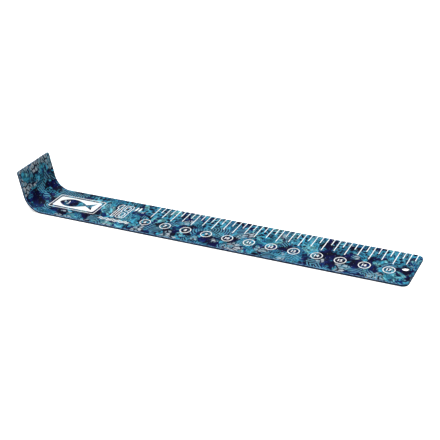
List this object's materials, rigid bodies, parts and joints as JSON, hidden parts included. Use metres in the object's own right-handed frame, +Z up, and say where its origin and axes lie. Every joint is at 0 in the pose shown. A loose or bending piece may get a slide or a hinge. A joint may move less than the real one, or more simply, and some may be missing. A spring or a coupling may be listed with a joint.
{
  "type": "fish measuring board",
  "caption": "Flat board with one end bent up into a nose stop, printed inch graduations on the deck and a lanyard hole at the free end.",
  "frame": {"origin": "middle of the whole board, in plan, on the plane that it lies on", "axes": "+X along the deck from the nose stop to the free end, +Y across the deck to the graduated edge, +Z up out of the deck"},
  "size_m": [0.4572, 0.0596, 0.0493],
  "materials": {
    "camouflage_coating": "satin-gloss printed coating over aluminium sheet",
    "white_print": "opaque white printing ink"
  },
  "bodies": {
    "root": {"badge_frame": "white_print", "badge_panel": "white_print", "board": "camouflage_coating", "first_quarter_mark_06": "white_print", "first_quarter_mark_07": "white_print", "first_quarter_mark_08": "white_print", "first_quarter_mark_09": "white_print", "first_quarter_mark_10": "white_print", "first_quarter_mark_11": "white_print", "first_quarter_mark_12": "white_print", "first_quarter_mark_13": "white_print", "first_quarter_mark_14": "white_print", "first_quarter_mark_15": "white_print", "first_quarter_mark_16": "white_print", "first_quarter_mark_17": "white_print", "half_inch_mark_06": "white_print", "half_inch_mark_07": "white_print", "half_inch_mark_08": "white_print", "half_inch_mark_09": "white_print", "half_inch_mark_10": "white_print", "half_inch_mark_11": "white_print", "half_inch_mark_12": "white_print", "half_inch_mark_13": "white_print", "half_inch_mark_14": "white_print", "half_inch_mark_15": "white_print", "half_inch_mark_16": "white_print", "half_inch_mark_17": "white_print", "inch_mark_06": "white_print", "inch_mark_07": "white_print", "inch_mark_08": "white_print", "inch_mark_09": "white_print", "inch_mark_10": "white_print", "inch_mark_11": "white_print", "inch_mark_12": "white_print", "inch_mark_13": "white_print", "inch_mark_14": "white_print", "inch_mark_15": "white_print", "inch_mark_16": "white_print", "inch_mark_17": "white_print", "inch_sign_left": "white_print", "inch_sign_right": "white_print", "size_digit_eight": "white_print", "size_digit_one": "white_print", "third_quarter_mark_06": "white_print", "third_quarter_mark_07": "white_print", "third_quarter_mark_08": "white_print", "third_quarter_mark_09": "white_print", "third_quarter_mark_10": "white_print", "third_quarter_mark_11": "white_print", "third_quarter_mark_12": "white_print", "third_quarter_mark_13": "white_print", "third_quarter_mark_14": "white_print", "third_quarter_mark_15": "white_print", "third_quarter_mark_16": "white_print", "third_quarter_mark_17": "white_print", "wave_line": "white_print"}
  },
  "joints": []
}
